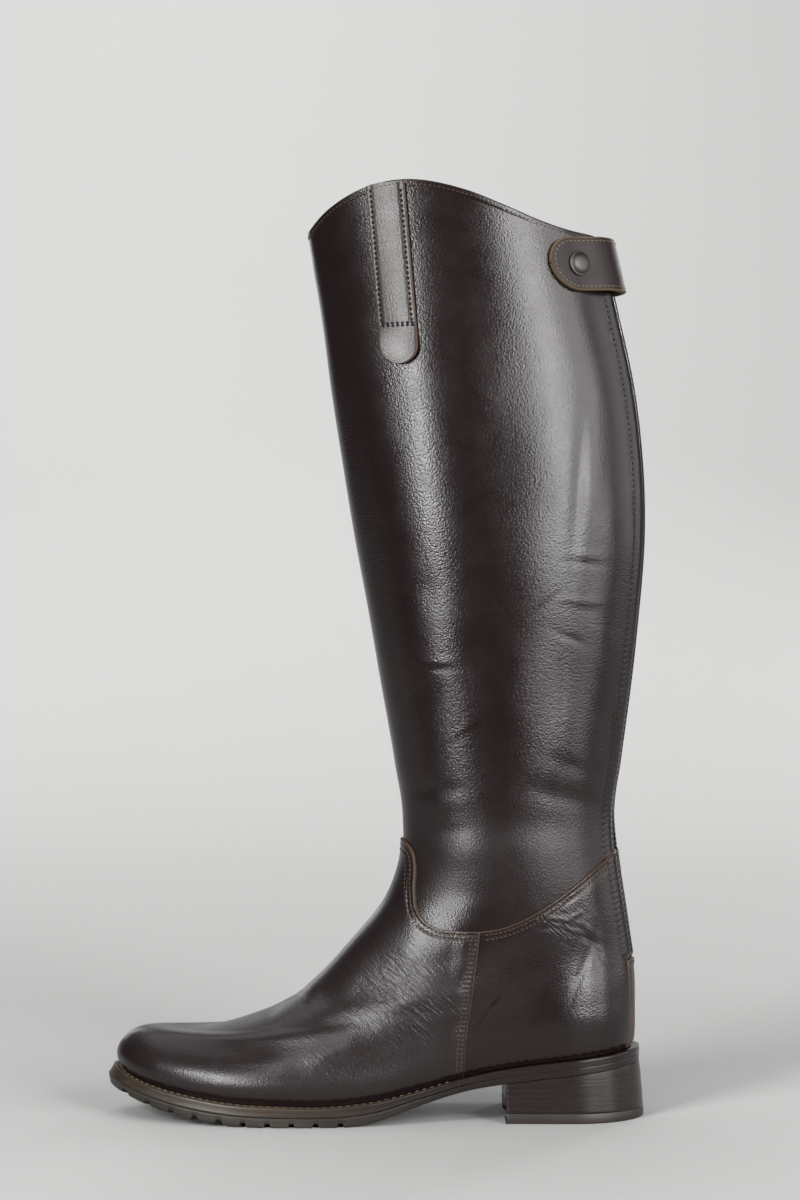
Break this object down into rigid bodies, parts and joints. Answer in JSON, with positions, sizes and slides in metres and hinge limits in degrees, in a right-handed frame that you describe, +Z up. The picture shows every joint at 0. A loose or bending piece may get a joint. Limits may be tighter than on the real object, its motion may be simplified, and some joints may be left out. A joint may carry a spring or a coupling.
{
  "type": "tall riding boot",
  "caption": "Tall leather riding boot for the left foot, zipped up the back of the leg, with a snap strap over the zip, a finger tab at the collar and a low block heel.",
  "frame": {"origin": "middle of the bounding box at floor level, below the boot's waist", "axes": "+Z up along the leg; -X towards the toe; -Y towards the outer side of the left foot, which the picture shows"},
  "size_m": [0.2761, 0.0954, 0.4739],
  "materials": {
    "leather": "semi-gloss dark brown full-grain calf, fine pebble grain",
    "cut_leather": "lighter brown strip with cut edges",
    "welt": "polished brown welt and midsole edge",
    "sole_rubber": "matt dark brown rubber",
    "heel_stack": "polished stacked heel with fine layer lines",
    "top_lift": "matt grey-brown rubber",
    "zip_tape": "black woven tape",
    "zip_chain": "dark brown zip chain",
    "gunmetal": "satin gunmetal",
    "insole": "plain tan sock leather"
  },
  "bodies": {
    "root": {"upper": "leather", "vamp": "leather", "quarter_outer": "leather", "quarter_inner": "leather", "back_stay": "cut_leather", "zip_placket_outer": "leather", "zip_placket_inner": "leather", "zip_tape": "zip_tape", "zip_chain": "zip_chain", "zip_slider": "gunmetal", "snap_strap": "leather", "snap_cap": "gunmetal", "finger_tab": "leather", "welt": "welt", "outsole": "sole_rubber", "heel_stack": "heel_stack", "top_lift": "top_lift", "insole": "insole"}
  },
  "joints": []
}
